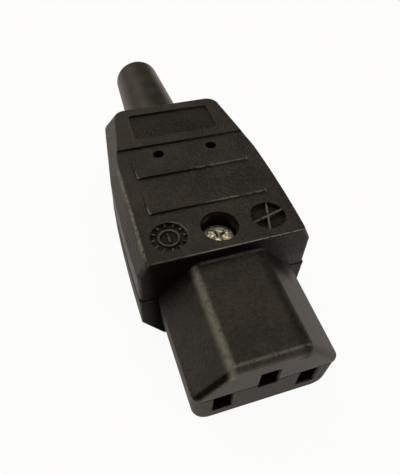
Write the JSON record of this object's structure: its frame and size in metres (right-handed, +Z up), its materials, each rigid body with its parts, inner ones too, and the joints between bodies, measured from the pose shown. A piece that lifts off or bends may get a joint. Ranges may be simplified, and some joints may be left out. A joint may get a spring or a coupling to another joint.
{
  "type": "rewireable line connector with three contacts and a bend protection sleeve",
  "caption": "Black moulded mains line connector for a cord: flat body of two shells, keyed nose with three pin slots, and a tapered bend protection sleeve.",
  "frame": {"origin": "centre of the mating face, where the middle of the nose's width meets the parting plane of the two shells", "axes": "+X across the width, +Y from the mating face to the cord end, +Z up to the side with the screw head"},
  "size_m": [0.031, 0.0904, 0.0226],
  "materials": {
    "shell_plastic": "fine-grained satin black",
    "sleeve_plastic": "smooth, slightly glossy black",
    "clamp_plastic": "plain black",
    "zinc_steel": "bright zinc",
    "contact_brass": "rolled brass",
    "guard_steel": "thin spring strip"
  },
  "bodies": {
    "root": {"base_shell": "shell_plastic", "cover_shell": "shell_plastic", "bend_sleeve": "sleeve_plastic", "assembly_screw": "zinc_steel", "assembly_nut": "zinc_steel", "cord_clamp": "clamp_plastic", "clamp_screw_left": "zinc_steel", "clamp_screw_right": "zinc_steel", "line_contact": "contact_brass", "neutral_contact": "contact_brass", "earth_contact": "contact_brass", "line_terminal": "contact_brass", "neutral_terminal": "contact_brass", "earth_terminal": "contact_brass", "line_screw": "zinc_steel", "neutral_screw": "zinc_steel", "earth_screw": "zinc_steel", "line_guard": "guard_steel", "neutral_guard": "guard_steel", "earth_guard": "guard_steel"}
  },
  "joints": []
}
